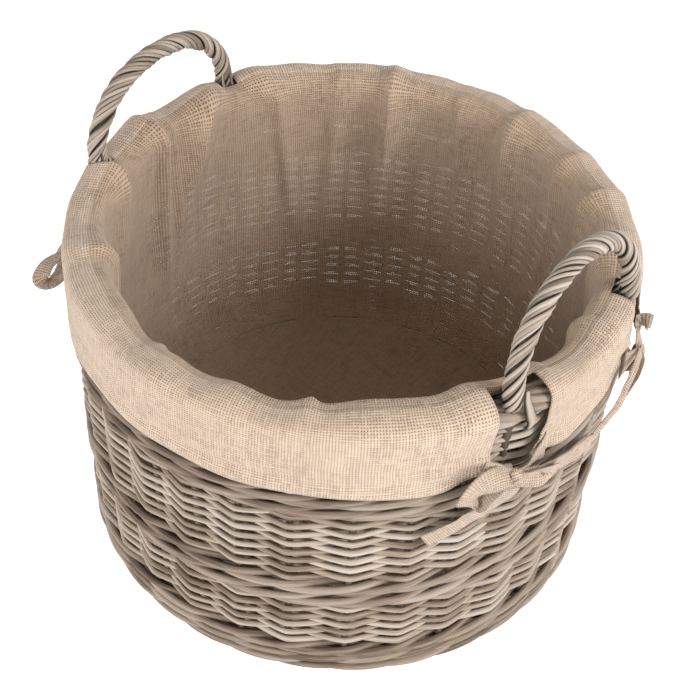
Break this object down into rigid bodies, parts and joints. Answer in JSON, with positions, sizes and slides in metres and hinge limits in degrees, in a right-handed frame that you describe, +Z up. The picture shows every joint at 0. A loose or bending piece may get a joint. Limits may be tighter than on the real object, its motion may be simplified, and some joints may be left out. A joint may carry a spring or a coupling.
{
  "type": "lined log basket",
  "caption": "Round woven willow log basket with a tall wall, two roped bow handles, and a lift-out hessian liner folded over the rim and tied beside each handle foot.",
  "frame": {"origin": "centre of the base, on the ground", "axes": "+Z up, X through the middles of both handles, Y across"},
  "size_m": [0.5082, 0.5, 0.4151],
  "materials": {
    "willow_weave": "antique-washed willow rods, matt, grey-brown with pale streaks",
    "willow_wale": "antique-washed willow rods, thicker, matt",
    "willow_handle": "antique-washed willow, roped, slightly polished by wear",
    "willow_stick": "raw willow sticks, matt",
    "hessian": "loose plain-weave jute hessian",
    "hessian_tie": "folded and stitched hessian tape"
  },
  "bodies": {
    "basket": {"foot_wale": "willow_wale", "lower_weave": "willow_weave", "middle_wale": "willow_wale", "upper_weave": "willow_weave", "upper_wale": "willow_wale", "top_weave": "willow_weave", "rolled_border": "willow_wale", "stake_01": "willow_stick", "stake_02": "willow_stick", "stake_03": "willow_stick", "stake_04": "willow_stick", "stake_05": "willow_stick", "stake_06": "willow_stick", "stake_07": "willow_stick", "stake_08": "willow_stick", "stake_09": "willow_stick", "stake_10": "willow_stick", "stake_11": "willow_stick", "stake_12": "willow_stick", "stake_13": "willow_stick", "stake_14": "willow_stick", "stake_15": "willow_stick", "stake_16": "willow_stick", "stake_17": "willow_stick", "stake_18": "willow_stick", "stake_19": "willow_stick", "stake_20": "willow_stick", "stake_21": "willow_stick", "stake_22": "willow_stick", "stake_23": "willow_stick", "stake_24": "willow_stick", "stake_25": "willow_stick", "stake_26": "willow_stick", "stake_27": "willow_stick", "stake_28": "willow_stick", "stake_29": "willow_stick", "stake_30": "willow_stick", "stake_31": "willow_stick", "stake_32": "willow_stick", "base_weave": "willow_weave", "base_stick_1": "willow_stick", "base_stick_2": "willow_stick", "base_stick_3": "willow_stick", "base_stick_4": "willow_stick", "base_stick_5": "willow_stick", "base_stick_6": "willow_stick", "right_handle_bow": "willow_handle", "right_handle_roping": "willow_handle", "left_handle_bow": "willow_handle", "left_handle_roping": "willow_handle"},
    "liner": {"liner_side": "hessian", "liner_floor": "hessian", "front_cuff": "hessian", "rear_cuff": "hessian", "right_flap": "hessian", "left_flap": "hessian", "tie_front_right": "hessian_tie", "tie_rear_right": "hessian_tie", "tie_front_left": "hessian_tie", "tie_rear_left": "hessian_tie"}
  },
  "joints": [
    {"name": "liner_lift", "type": "slide", "parent": "basket", "child": "liner", "axis": [0, 0, 1], "range_m": [0, 0.42], "deforming": ["liner_side", "right_flap", "left_flap"]}
  ]
}
